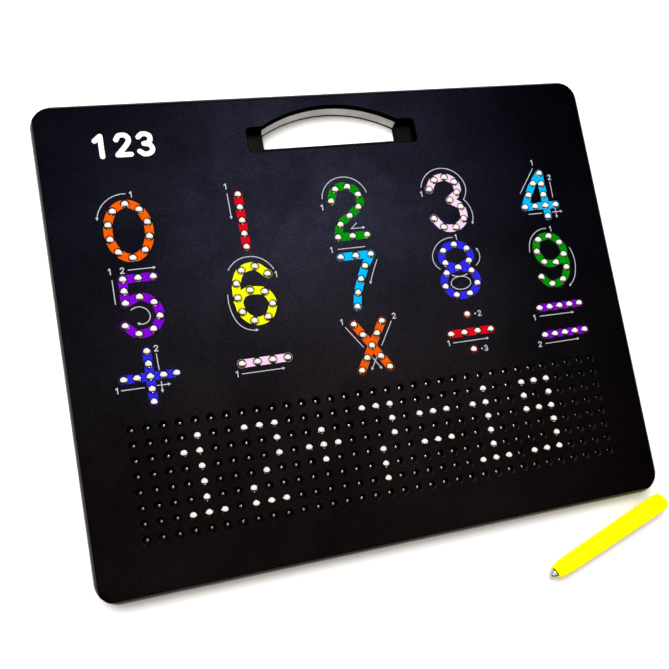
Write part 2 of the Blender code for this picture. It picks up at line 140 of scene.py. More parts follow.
# Printed figures: (centre in millimetres, ink, strokes). A stroke is its kind, its points from that
# centre (an ellipse's second one is its radii), how many beads lie along it, and which of these are
# left out because another stroke has them.
INK_WIDTH = 4.3 * MM
INK_END_RADIUS = 2.42 * MM
INK_LOW_Z = FACE_Z - 0.01 * MM
INK_TOP_Z = FACE_Z + 0.04 * MM
ELLIPSE_STEPS = 72
FIGURES = {
    "0": ((-113.9, 56.2), "orange", [("ellipse", [(0, 0), (9.9, 14.2)], 10)]),
    "1": ((-57.1, 56.2), "red", [("line", [(0, 14.4), (0, -14.4)], 5)]),
    "2": ((-0.1, 56.2), "green", [
        ("curve", [(-8.1, 6.2), (-5.4, 12.2), (1, 14), (7, 10), (7.2, 2.8), (1, -2.6), (-5, -7),
                   (-7.8, -14.3)], 8),
        ("line", [(-7.8, -14.3), (8.5, -14.3)], 3, 0),
    ]),
    "3": ((56.9, 56.2), "pink", [
        ("curve", [(-8.3, 8), (-4.5, 13.2), (2.3, 14.4), (7.6, 11), (8, 5.2), (2.7, 0.8)], 6),
        ("curve", [(2.7, 0.8), (8.5, -3.5), (9, -10.8), (3.6, -15.2), (-3.7, -14.6), (-8.7, -9)], 6, 0),
    ]),
    "4": ((114.6, 56.0), "sky", [
        ("curve", [(3.5, 12.3), (-2.4, 5.7), (-6.2, -0.5), (-9.8, -7.4)], 4),
        ("line", [(-9.8, -7.4), (10, -7.4)], 4, 0),
        ("line", [(3.5, 12.3), (3.6, -14)], 5, 0, 3),
    ]),
    "5": ((-113.9, 16.8), "purple", [
        ("line", [(8.4, 14.7), (-6.4, 14.7)], 3),
        ("line", [(-6.4, 14.7), (-6.8, 2.3)], 3, 0),
        ("curve", [(-6.8, 2.3), (0.9, 4.9), (7.2, 1), (8.7, -6.2), (4.5, -12.3), (-2.9, -13.7),
                   (-8.4, -9)], 7, 0),
    ]),
    "6": ((-57.1, 16.8), "yellow", [
        ("curve", [(8.5, 9.5), (2.4, 14.3), (-4.8, 12.6), (-8.3, 6), (-8.7, -2.5), (-7.1, -10.1),
                   (-1.4, -14.7), (5.5, -13), (8.6, -6), (5.4, 0.3), (-1.9, 1.8)], 11),
        ("curve", [(-1.9, 1.8), (-6, 0.2), (-8.6, -3.5)], 0),
    ]),
    "7": ((0.0, 16.9), "sky", [
        ("line", [(-8.5, 14), (8.5, 14)], 3),
        ("curve", [(8.5, 14), (4, 7.6), (0.6, 0.8), (-2.4, -6.5), (-4.1, -14)], 5, 0),
    ]),
    "8": ((57.0, 17.0), "blue", [
        ("loop", [(0, 14.2), (-6.8, 11.6), (-8.1, 5.2), (0, 0.9), (8.1, 5.2), (6.8, 11.6)], 6),
        ("loop", [(0, 0.9), (7.7, -1.9), (9.8, -8.6), (4.6, -14.4), (-4.6, -14.4), (-9.8, -8.6),
                  (-7.7, -1.9)], 7, 0),
    ]),
    "9": ((114.6, 16.8), "green", [
        ("loop", [(8.6, 1.7), (7.2, 9.1), (1.3, 13.4), (-6.1, 11.6), (-8.1, 4.8), (-4.9, -1.5),
                  (1.9, -2.8)], 7),
        ("curve", [(8.6, 1.7), (8.6, -6.5), (4.5, -13.4), (-3.3, -14.8), (-8.4, -10.2)], 5, 0),
    ]),
    "plus": ((-114.1, -18.9), "blue", [
        ("line", [(0, 12.8), (0, -12.8)], 5),
        ("line", [(-12.7, 0), (12.7, 0)], 5, 2),
    ]),
    "minus": ((-57.2, -19.0), "pink", [("line", [(-11.9, 0), (11.8, 0)], 4)]),
    "times": ((0.0, -19.1), "orange", [
        ("line", [(-7.8, 12.6), (7.8, -12.6)], 5),
        ("line", [(7.8, 12.6), (-7.8, -12.6)], 5, 2),
    ]),
    "divide": ((57.2, -19.1), "red", [
        ("line", [(-11.9, 0), (11.9, 0)], 4),
        ("dot", [(-0.3, 10)], 1),
        ("dot", [(-0.3, -10)], 1),
    ]),
    "equals": ((113.8, -19.1), "purple", [
        ("line", [(-12.7, 7.9), (12.7, 7.9)], 5),
        ("line", [(-12.7, -7.9), (12.7, -7.9)], 5),
    ]),
}
INKS = {
    "orange": (0.39, 0.051, 0.0008),
    "red": (0.33, 0.0013, 0.0045),
    "green": (0.0005, 0.131, 0.0008),
    "pink": (0.435, 0.305, 0.415),
    "sky": (0.0008, 0.228, 0.455),
    "purple": (0.1, 0.0008, 0.305),
    "yellow": (0.415, 0.455, 0.0015),
    "blue": (0.013, 0.0106, 0.358),
    "grey": (0.27, 0.27, 0.31),
    "white": (0.5, 0.5, 0.5),
}

# Stroke-order marks beside each figure: numerals, lines and arcs through three points. Those named
# with "to" end in an arrowhead.
MARK_WIDTH = 0.44 * MM
NUMERAL_WIDTH = 0.52 * MM
NUMERAL_SCALE = 0.84
ARROW_LENGTH = 1.5 * MM
ARROW_WIDTH = 1.6 * MM
POINT_RADIUS = 0.5 * MM
MARKS = {
    "0": [("arc to", [(0.9, 19.5), (-9.6, 15.8), (-14.3, 6.6)]), ("1", (3.6, 18.9))],
    "1": [("line to", [(-5.5, 15.0), (-5.3, 1.2)]), ("1", (-5.7, 19.1))],
    "2": [
        ("1", (-13.5, 3.1)), ("arc", [(-12.8, 8.0), (-0.5, 19.3), (12.3, 9.6)]),
        ("line to", [(3.7, -7.3), (0.2, -10.2), (8.1, -10.1)]),
    ],
    "3": [
        ("1", (-13.2, 5.8)), ("arc", [(-12.8, 9.8), (1.7, 19.8), (13.6, 8.7)]),
        ("arc", [(13.6, 8.7), (13.1, 4.3), (11.0, 0.5)]),
        ("arc to", [(11.0, 0.5), (14.5, -6.2), (13.4, -14.4)]),
    ],
    "4": [
        ("1", (0.2, 19.1)), ("line", [(-0.2, 15.4), (-11.0, 1.2)]), ("2", (9.3, 9.3)),
        ("line", [(9.2, 6.6), (9.1, -2.8)]), ("line", [(-8.3, -11.8), (0.0, -11.8)]),
        ("line to", [(6.7, -11.8), (13.4, -11.7)]), ("line to", [(9.1, -9.2), (9.1, -15.5)]),
    ],
    "5": [
        ("1", (-11.8, 19.3)), ("line", [(-11.4, 14.7), (-11.4, 2.5)]), ("2", (-6.0, 19.2)),
        ("line to", [(-3.2, 19.2), (10.3, 19.2)]), ("arc", [(-4.5, -1.3), (0.4, -0.3), (4.1, -4.9)]),
        ("arc to", [(4.1, -4.9), (2.0, -8.5), (-2.6, -8.1)]),
    ],
    "6": [
        ("arc", [(-11.3, 13.6), (0.6, 19.7), (12.0, 11.7)]), ("1", (12.9, 8.8)),
        ("arc", [(-13.5, 0.7), (-13.4, -6.6), (-11.6, -12.9)]),
        ("arc to", [(-11.6, -12.9), (-7.5, -17.7), (-0.7, -19.4)]),
    ],
    "7": [
        ("1", (-12.6, 18.5)), ("line", [(-9.1, 18.4), (5.9, 18.5)]),
        ("arc to", [(11.4, 10.6), (8.0, 4.2), (5.1, -2.5)]),
    ],
    "8": [
        ("1", (2.1, 18.3)), ("arc", [(0.0, 18.3), (-9.0, 15.9), (-13.7, 9.4)]),
        ("arc", [(-13.7, 9.4), (-13.4, 4.4), (-10.7, 1.0)]),
        ("arc to", [(10.8, 1.0), (14.0, 6.0), (12.5, 10.9)]),
        ("arc", [(-4.6, -3.1), (-0.2, -4.3), (4.4, -3.4)]), ("ring", [(-0.2, -8.0), (5.8, 3.7)]),
    ],
    "9": [
        ("1", (3.4, 17.6)), ("arc", [(0.6, 18.1), (-7.6, 15.7), (-12.1, 8.6)]),
        ("line", [(-12.1, 8.6), (-12.7, 5.1)]), ("arc", [(12.9, 5.2), (14.6, -1.3), (13.9, -8.0)]),
        ("arc to", [(13.9, -8.0), (11.8, -13.4), (7.8, -17.5)]),
    ],
    "plus": [
        ("2", (4.6, 13.7)), ("line", [(4.4, 10.8), (4.6, 2.9)]), ("1", (-16.2, -4.9)),
        ("line", [(-14.3, -5), (-3.6, -5.1)]), ("line to", [(2.6, -4.9), (9.2, -5)]),
        ("line to", [(4.8, -3.2), (4.7, -8.8)]),
    ],
    "minus": [("1", (-14.9, -4.9)), ("line to", [(-12.6, -5.2), (9.5, -5.3)])],
    "times": [
        ("1", (-14.0, 14.8)), ("line", [(-12.7, 11.7), (-4.8, -0.2)]), ("2", (14.9, 14.5)),
        ("line", [(12.9, 11.8), (5.3, -0.5)]), ("line to", [(1.3, -6.7), (-2.7, -13.1)]),
        ("line to", [(-0.7, -6.7), (3.3, -13.2)]),
    ],
    "divide": [
        ("1", (-14.1, -4.7)), ("line to", [(-11.5, -4.9), (9.6, -4.9)]), ("point", (4.4, 9.8)),
        ("2", (6.9, 9.7)), ("point", (4.4, -10.2)), ("3", (6.9, -10.2)),
    ],
    "equals": [
        ("1", (-16.9, 2.9)), ("line to", [(-13.5, 3.2), (8.1, 3)]), ("2", (-17.0, -12.7)),
        ("line to", [(-13.3, -12.8), (8.1, -12.7)]),
    ],
}
NUMERALS = {  # each stroke on a numeral 3.4 mm high, about its middle
    "1": [[(-0.75, 0.95), (0.15, 1.7)], [(0.15, 1.7), (0.15, -1.7)]],
    "2": [
        [(-0.95, 0.95), (-0.5, 1.6), (0.4, 1.65), (0.95, 1.0), (0.6, 0.1), (-0.95, -1.6)],
        [(-0.95, -1.6), (1.05, -1.6)],
    ],
    "3": [
        [(-0.95, 1.2), (-0.3, 1.7), (0.6, 1.5), (0.85, 0.8), (0.5, 0.2), (-0.2, 0.05)],
        [(-0.2, 0.05), (0.7, -0.2), (1.0, -0.9), (0.6, -1.55), (-0.3, -1.7), (-1.0, -1.2)],
    ],
}
TITLE_TEXT = "123"
TITLE_CENTRE = Vector((-110.5, 101.5)) * MM
TITLE_SCALE = 3.2
TITLE_PITCH = 11.0 * MM
TITLE_WIDTH = 2.6 * MM

# Stylus, as in the CAD part, measured along its own axis from the tip of its nose
STYLUS_TIP = Vector((78.5 * MM, -159.8 * MM))
STYLUS_ANGLE = math.radians(19.2)
STYLUS_LENGTH = 83.5 * MM
STYLUS_FRONT = 13.0 * MM
STYLUS_FRONT_RADIUS = 4.75 * MM
STYLUS_REAR_RADIUS = 5.4 * MM
STYLUS_CAP_RADIUS = 5.1 * MM
STYLUS_CAP_LENGTH = 4.0 * MM
STYLUS_SIDES = 72
STYLUS_BORE = 3.5 * MM
STYLUS_BARREL_END = STYLUS_LENGTH - STYLUS_CAP_LENGTH
STYLUS_BARREL = (  # (radius, distance), once round the wall of the barrel
    (STYLUS_BORE, STYLUS_BARREL_END),
    (STYLUS_REAR_RADIUS, STYLUS_BARREL_END),
    (STYLUS_FRONT_RADIUS, STYLUS_FRONT),
    (4.3 * MM, 7.0 * MM),
    (3.8 * MM, 4.4 * MM),
    (3.3 * MM, 3.7 * MM),
    (2.7 * MM, 3.7 * MM),
    (2.4 * MM, 4.1 * MM),
    (2.4 * MM, 8.3 * MM),
    (STYLUS_BORE, 8.3 * MM),
    (STYLUS_BORE, STYLUS_BARREL_END),
)
STYLUS_NOSE = (  # (radius, distance), from inside the barrel to the tip
    (0.0, 8.0 * MM),
    (1.9 * MM, 8.0 * MM),
    (1.9 * MM, 3.6 * MM),
    (2.25 * MM, 3.3 * MM),
    (2.25 * MM, 2.6 * MM),
    (1.7 * MM, 1.0 * MM),
    (0.9 * MM, 0.2 * MM),
    (0.0, 0.0),
)
STYLUS_CAP = (  # (radius, distance), from the rear end to the end of the plug in the barrel
    (0.0, STYLUS_LENGTH),
    (0.62 * STYLUS_CAP_RADIUS, STYLUS_LENGTH),
    (STYLUS_CAP_RADIUS, STYLUS_LENGTH - 1.6 * MM),
    (STYLUS_CAP_RADIUS, STYLUS_BARREL_END + GAP),
    (3.1 * MM, STYLUS_BARREL_END + GAP),
    (3.1 * MM, STYLUS_BARREL_END - 6.0 * MM),
    (0.0, STYLUS_BARREL_END - 6.0 * MM),
)

# Finishes. Most of a noise lies between NOISE_LOW and NOISE_HIGH.
NOISE_LOW = 0.3
NOISE_HIGH = 0.7
FACE_PAINTED_SHEEN = (  # painted reflection on the face, from the front edge (0) to the handle (1)
    (0.1, (0.0066, 0.0042, 0.0044)),
    (0.4, (0.0052, 0.0044, 0.0052)),
    (0.7, (0.0036, 0.0036, 0.0062)),
    (1.0, (0.0026, 0.0026, 0.0046)),
)
FACE_CLOUDS = ((0.35, (0.66, 0.64, 0.66)), (0.65, (1.05, 1.05, 1.12)))
FACE_SPECKLE = ((0.35, (0.55, 0.55, 0.55)), (0.65, (1.05, 1.05, 1.05)))
# Painted shade that dims the face towards its right edge: where it starts, and the share left at the
# edge
SIDE_SHADE_START = 55 * MM
SIDE_SHADE_SHARE = 0.45
# Painted shade below the face: the hole walls and the handle's ledge go nearly black
PAINTED_HOLLOW_SHADE = (0.002, 0.002, 0.0018)
RIM_GLOSS = 0.5
STEEL = (0.86, 0.84, 0.8)
STEEL_LOW = (0.8, 0.78, 0.74)
STEEL_HIGH = (0.92, 0.9, 0.87)
BEAD_SHINE = 0.85
TIP_SHINE = 0.6
# Painted shade on the beads low down in their cells, between the two heights below
CELL_SHADE = (0.21, 0.2, 0.19)
CELL_SHADE_HEIGHTS = (PANEL_LOW.z + BEAD_TRAVEL, FACE_Z - MM)
YELLOW = (0.95, 0.86, 0.0)

# Studio. SKY_STOPS runs from the dimmest side of the sky (0) to the side that SKY_LEAN points at (1)
SKY_LEAN = (0.1, 0.75, 0.65)
SKY_STOPS = (
    (0.27, (0.004, 0.002, 0.001)),
    (0.36, (0.1, 0.04, 0.012)),
    (0.46, (0.6, 0.34, 0.12)),
    (0.54, (1.0, 0.98, 0.95)),
)
SKY_STRENGTH = 1.25
SKY_FULL_HEIGHT = 0.3
SKY_LOW_SHARE = 0.02
WHITE = (1.0, 1.0, 1.0)
FLOOR_COLOUR = (0.63, 0.63, 0.63)
FLOOR_SIZE = 6.0
FLOOR_DROP = 0.1 * MM
LIGHT_TARGET = Vector((0.0, 0.03, 0.0))
KEY_PLACE = (0.1, 0.33, 0.66)
KEY_SIZE = 0.34
KEY_POWER = 7.0
SOFT_PLACE = (-0.16, 0.36, 0.82)
SOFT_SIZE = 0.55
SOFT_POWER = 12.5

# Camera
CAMERA_PLACE = Vector((-0.0822, -0.0730, 0.3386))
CAMERA_FORWARD = Vector((0.2247, 0.0816, -0.9710))
CAMERA_UP = Vector((0.1537, 0.9810, 0.1180))
CAMERA_LENS = 34.3
CAMERA_SENSOR = 36.0
CAMERA_NEAR = 0.01
CAMERA_SHIFT = (-0.052, 0.0916)


# Outlines


def arc_points(centre, radius, start, end, steps):
    """Points on an arc, both ends included, with the angles in radians."""
    turns = [start + (end - start) * i / steps for i in range(steps + 1)]
    return [(centre[0] + radius * math.cos(t), centre[1] + radius * math.sin(t)) for t in turns]


def circle_points(centre, radius, sides=HOLE_SIDES):
    return arc_points(centre, radius, 0.0, math.tau, sides)[:-1]


def rounded_rectangle(low, high, radius, steps=CORNER_STEPS):
    """A rectangle's outline with round corners, anticlockwise from the lower right corner."""
    corners = (
        (high[0] - radius, low[1] + radius, -90),
        (high[0] - radius, high[1] - radius, 0),
        (low[0] + radius, high[1] - radius, 90),
        (low[0] + radius, low[1] + radius, 180),
    )
    points = []
    for x, y, start in corners:
        points += arc_points((x, y), radius, math.radians(start), math.radians(start + 90), steps)
    return points


def board_outline(inset=0.0):
    half = HALF_BOARD - Vector((inset, inset))
    return rounded_rectangle(-half, half, CORNER_RADIUS - inset)


def arch_points(outset):
    """The finger arch from right to left, moved outwards from the opening by outset."""
    radius = (ARCH_HALF_WIDTH**2 + ARCH_RISE**2) / (2 * ARCH_RISE)
    centre = (ARCH_CENTRE_X, SLOT_HIGH_Y + ARCH_RISE - radius)
    half_angle = math.asin(ARCH_HALF_WIDTH / (radius + outset))
    right, left = math.pi / 2 - half_angle, math.pi / 2 + half_angle
    return arc_points(centre, radius + outset, right, left, ARCH_STEPS)


def slot_outline(outset=0.0):
    """The stylus slot with the finger arch above its middle."""
    low = (-SLOT_HALF_WIDTH - outset, SLOT_LOW_Y - outset)
    high = (SLOT_HALF_WIDTH + outset, SLOT_HIGH_Y + outset)
    corners = rounded_rectangle(low, high, SLOT_CORNER + outset, SLOT_CORNER_STEPS)
    half = len(corners) // 2
    return corners[:half] + arch_points(outset) + corners[half:]


def through_outline():
    """The hole for the fingers, right through the board."""
    right = (ARCH_CENTRE_X + ARCH_HALF_WIDTH, THROUGH_LOW_Y)
    left = (ARCH_CENTRE_X - ARCH_HALF_WIDTH, THROUGH_LOW_Y)
    return [right] + arch_points(0.0) + [left]


def liner_outline(outer_outset, inner_outset):
    """A band that follows the finger arch, between two outsets from it."""
    return arch_points(outer_outset) + arch_points(inner_outset)[::-1]


def smoothed(points, closed=False, steps=10):
    """A curve through the points (Catmull-Rom)."""
    count = len(points)
    spans = count if closed else count - 1
    found = []
    for i in range(spans):
        if closed:
            a, b, c, d = (points[(i + k) % count] for k in (-1, 0, 1, 2))
        else:
            b, c = points[i], points[i + 1]
            a = points[i - 1] if i else b + (b - c)
            d = points[i + 2] if i + 2 < count else c + (c - b)
        slope, bend, twist = c - a, 2 * a - 5 * b + 4 * c - d, 3 * b - 3 * c + d - a
        for k in range(steps):
            t = k / steps
            found.append(0.5 * (2 * b + slope * t + bend * t**2 + twist * t**3))
    return found if closed else found + [points[-1]]


def arc_through(start, middle, end, steps=28):
    """Points on the circular arc from start to end by way of middle."""
    a, b = middle - start, end - start
    turn = 2 * a.cross(b)
    x = b.y * a.length_squared - a.y * b.length_squared
    y = a.x * b.length_squared - b.x * a.length_squared
    centre = start + Vector((x, y)) / turn
    first, last = (math.atan2(*(p - centre).yx) for p in (start, end))
    sweep = (last - first) % math.tau - (math.tau if turn < 0 else 0.0)
    return [Vector(p) for p in arc_points(centre, (start - centre).length, first, first + sweep, steps)]


def spaced(path, count, closed):
    """That many points evenly spaced along a path, both ends included unless it is closed."""
    track = [*path, path[0]] if closed else path
    lengths = [0.0]
    for a, b in zip(track, track[1:]):
        lengths.append(lengths[-1] + (b - a).length)
    found = []
    for i in range(count):
        goal = lengths[-1] * i / (count if closed else max(count - 1, 1))
        k = next((k for k in range(1, len(lengths)) if lengths[k] >= goal - 1e-9), len(lengths) - 1)
        share = (goal - lengths[k - 1]) / max(lengths[k] - lengths[k - 1], 1e-12)
        found.append(track[k - 1].lerp(track[k], share))
    return found


def stroke_path(kind, points, centre):
    """A figure's stroke as (path, closed), in metres on the face."""
    placed = [(Vector(p) * MM) + centre for p in points]
    if kind == "ellipse":
        rx, ry = Vector(points[1]) * MM
        turns = [math.pi / 2 - math.tau * i / ELLIPSE_STEPS for i in range(ELLIPSE_STEPS)]
        return [placed[0] + Vector((rx * math.cos(t), ry * math.sin(t))) for t in turns], True
    if kind == "loop":
        return smoothed(placed, closed=True), True
    if kind == "curve":
        return smoothed(placed), False
    return placed, False


def anticlockwise(points):
    area = sum(a[0] * b[1] - b[0] * a[1] for a, b in zip(points, points[1:] + points[:1]))
    return points if area > 0 else points[::-1]


def stroke_outlines(path, closed, width, sides=32):
    """The outlines of a brush of that width along a path: one per stretch, and a disc at each point."""
    half = width / 2
    track = [*path, path[0]] if closed else path
    outlines = [circle_points(p, half, sides) for p in track]
    for a, b in zip(track, track[1:]):
        side = (b - a).normalized().orthogonal() * half
        outlines.append([tuple(a + side), tuple(b + side), tuple(b - side), tuple(a - side)])
    return outlines


# Mesh building


def within(points, outline):
    """Which of an array of points lie inside an outline."""
    corners = np.array([(p[0], p[1]) for p in outline])
    low, high = corners.min(axis=0), corners.max(axis=0)
    near = np.flatnonzero(((points >= low) & (points <= high)).all(axis=1))
    x, y = points[near].T
    odd = np.zeros(len(near), bool)
    for (ax, ay), (bx, by) in zip(corners, np.roll(corners, -1, axis=0)):
        if ay != by:
            odd ^= ((ay > y) != (by > y)) & (x < (bx - ax) * (y - ay) / (by - ay) + ax)
    found = np.zeros(len(points), bool)
    found[near] = odd
    return found


def filled(kept, cut=()):
    """Triangles that cover the kept outlines, overlaps joined, without the cut ones."""
    points, faces = [], []
    for loop in (*kept, *cut):
        start = len(points)
        points += [Vector(p[:2]) for p in anticlockwise(list(loop))]
        faces.append(list(range(start, len(points))))
    verts, _, triangles = delaunay_2d_cdt(points, [], faces, 0, FINE)[:3]
    centres = np.array([sum((verts[i] for i in t), Vector((0, 0))) / 3 for t in triangles])
    covered = np.zeros(len(centres), bool)
    for outline in kept:
        covered |= within(centres, outline)
    for outline in cut:
        covered &= ~within(centres, outline)
    return verts, [t for t, wanted in zip(triangles, covered) if wanted]


def shade(mesh, smooth_angle=35):
    """Smooth shading except across sharp edges and on level faces, where it would leave streaks."""
    mesh.shade_smooth()
    mesh.set_sharp_from_angle(angle=math.radians(smooth_angle))
    for polygon in mesh.polygons:
        if abs(polygon.normal.z) > 0.9999:
            polygon.use_smooth = False


def add_ring(bm, outline, z):
    """Vertices on an outline at a height."""
    return [bm.verts.new((x, y, z)) for x, y in outline]


def add_object(name, data):
    obj = bpy.data.objects.new(name, data)
    bpy.context.scene.collection.objects.link(obj)
    return obj


def new_object(name, bm, smooth_angle=35):
    """An object from a bmesh, smooth except across sharp edges."""
    bmesh.ops.recalc_face_normals(bm, faces=bm.faces)
    mesh = bpy.data.meshes.new(name)
    bm.to_mesh(mesh)
    bm.free()
    shade(mesh, smooth_angle)
    return add_object(name, mesh)


def film(name, kept, cut, low_z, high_z):
    """A thin closed layer over the kept outlines, without the cut ones."""
    verts, triangles = filled(kept, cut)
    bm = bmesh.new()
    top = {}
    for triangle in triangles:
        for i in triangle:
            if i not in top:
                top[i] = bm.verts.new((verts[i].x, verts[i].y, high_z))
        bm.faces.new([top[i] for i in triangle])
    raised = bmesh.ops.extrude_face_region(bm, geom=list(bm.faces))["geom"]
    for v in raised:
        if isinstance(v, bmesh.types.BMVert):
            v.co.z = low_z
    return new_object(name, bm)


def lofted(name, rings):
    """A closed body through rings of (outline, height), bottom to top."""
    bm = bmesh.new()
    loops = [add_ring(bm, outline, z) for outline, z in rings]
    for low, high in zip(loops, loops[1:]):
        for i in range(len(low)):
            j = (i + 1) % len(low)
            bm.faces.new((low[i], low[j], high[j], high[i]))
    bm.faces.new(loops[0][::-1])
    bm.faces.new(loops[-1])
    return new_object(name, bm)


def cut_with(obj, cutters):
    """Takes the cutters out of obj, one after another, and removes them."""
    for i, cutter in enumerate(cutters):
        modifier = obj.modifiers.new(f"cut_{i}", "BOOLEAN")
        modifier.operation = "DIFFERENCE"
        modifier.solver = "EXACT"
        modifier.object = cutter
    bpy.context.view_layer.update()
    mesh = bpy.data.meshes.new_from_object(obj.evaluated_get(bpy.context.evaluated_depsgraph_get()))
    obj.modifiers.clear()
    obj.data = mesh
    for cutter in cutters:
        bpy.data.objects.remove(cutter, do_unlink=True)


def boundary_loops(bm, z):
    """The open edges at a height, as loops of vertices."""
    ahead = {}
    for edge in bm.edges:
        if edge.is_boundary and all(abs(v.co.z - z) < SAME_PLACE for v in edge.verts):
            for v in edge.verts:
                ahead.setdefault(v, []).append(edge.other_vert(v))
    loops, left = [], set(ahead)
    while left:
        start = left.pop()
        loop, v = [start], ahead[start][0]
        while v != start:
            loop.append(v)
            left.discard(v)
            v = next(n for n in ahead[v] if n != loop[-2])
        loops.append(loop)
    return loops


def area_of(loop):
    return 0.5 * sum(a.co.x * b.co.y - b.co.x * a.co.y for a, b in zip(loop, loop[1:] + loop[:1]))


def punch(bm, z, inset, places, radius):
    """Fills the level faces at a height again, with a round hole at each place.

    Returns the rings of the holes.
    """
    half = HALF_BOARD - Vector((inset, inset))

    def inside(co):
        return abs(co.z - z) < SAME_PLACE and abs(co.x) < half.x and abs(co.y) < half.y

    flat = [f for f in bm.faces if all(inside(v.co) for v in f.verts)]
    bmesh.ops.delete(bm, geom=flat, context="FACES")
    loops = [loop if area_of(loop) > 0 else loop[::-1] for loop in boundary_loops(bm, z)]
    loops.sort(key=area_of, reverse=True)
    start = [v for loop in loops for v in loop]
    rings = [add_ring(bm, circle_points(place, radius), z) for place in places]
    used = start + [v for ring in rings for v in ring]
    faces, first = [], 0
    for loop in loops + rings:
        faces.append(list(range(first, first + len(loop))))
        first += len(loop)
    spots = [v.co.to_2d() for v in used]
    _, _, triangles, sources, _, origins = delaunay_2d_cdt(spots, [], faces, 0, FINE)
    for triangle, origin in zip(triangles, origins):
        if origin and max(origin) == 0:
            corners = [used[sources[i][0]] for i in triangle]
            if len(set(corners)) == 3:
                bm.faces.new(corners)
    return rings


def join_rings(bm, above, below):
    for i in range(len(above)):
        j = (i + 1) % len(above)
        bm.faces.new((above[i], below[i], below[j], above[j]))


def add_shafts(bm, places, top_rings, profile, bottom_rings=None):
    """The walls of round holes between rings of vertices, by a profile of (radius, height)."""
    for k, place in enumerate(places):
        above = top_rings[k]
        last = len(profile) if bottom_rings is None else len(profile) - 1
        for radius, z in profile[1:last]:
            below = add_ring(bm, circle_points(place, radius), z)
            join_rings(bm, above, below)
            above = below
        if bottom_rings is None:
            bm.faces.new(above)
        else:
            join_rings(bm, above, bottom_rings[k])


def turned(name, profile, sides, place):
    """A profile of (radius, distance along the axis) turned once round, then put in place."""
    bm = bmesh.new()
    rings = []
    for radius, along in profile:
        if radius == 0.0:
            rings.append([bm.verts.new((0.0, 0.0, along))])
        else:
            rings.append(add_ring(bm, circle_points((0, 0), radius, sides), along))
    for a, b in zip(rings, rings[1:]):
        for i in range(sides):
            j = (i + 1) % sides
            corners = [a[i % len(a)], a[j % len(a)], b[j % len(b)], b[i % len(b)]]
            bm.faces.new(list(dict.fromkeys(corners)))
    bm.transform(place)
    return new_object(name, bm, 40)


def rounded_profile(profile, radius, steps=4):
    """A profile with its inner corners rounded off by up to radius."""
    points = [Vector(p) for p in profile]
    found = [points[0]]
    for before, corner, after in zip(points, points[1:], points[2:]):
        reach = min(radius, 0.45 * (corner - before).length, 0.45 * (after - corner).length)
        start = corner + (before - corner).normalized() * reach
        end = corner + (after - corner).normalized() * reach
        for i in range(steps + 1):
            t = i / steps
            found.append(start * (1 - t) ** 2 + corner * 2 * t * (1 - t) + end * t**2)
    return [tuple(p) for p in (*found, points[-1])]


# Materials


def fill(tree, node, inputs):
    """Links a node's inputs to sockets, or sets them to plain values, with colours as (r, g, b)."""
    for key, value in inputs.items():
        socket = node.inputs[key]
        if isinstance(value, bpy.types.NodeSocket):
            tree.links.new(value, socket)
        elif socket.type == "RGBA":
            socket.default_value = (*value, 1.0)
        else:
            socket.default_value = value


def add_node(tree, kind, output, inputs, operation=None):
    """A new node with its inputs filled. Returns one of its outputs."""
    node = tree.nodes.new("ShaderNode" + kind)
    if operation:
        node.operation = operation
    fill(tree, node, inputs)
    return node.outputs[output]


def add_ramp(tree, value, stops):
    """The colour at a value, between stops of (place, colour)."""
    node = tree.nodes.new("ShaderNodeValToRGB")
    elements = node.color_ramp.elements
    while len(elements) < len(stops):
        elements.new(0.5)
    for element, (place, colour) in zip(elements, stops):
        element.position = place
        element.color = (*colour, 1.0)
    fill(tree, node, {"Fac": value})
    return node.outputs["Color"]


def add_mix(tree, share, first, second, kind="MIX"):
    """Two colours blended by share, or multiplied where kind says so."""
    node = tree.nodes.new("ShaderNodeMix")
    node.data_type = "RGBA"
    node.blend_type = kind
    fill(tree, node, {0: share, 6: first, 7: second})
    return node.outputs[2]


def tinted(colour, factor):
    return tuple(min(1.0, factor * c) for c in colour)


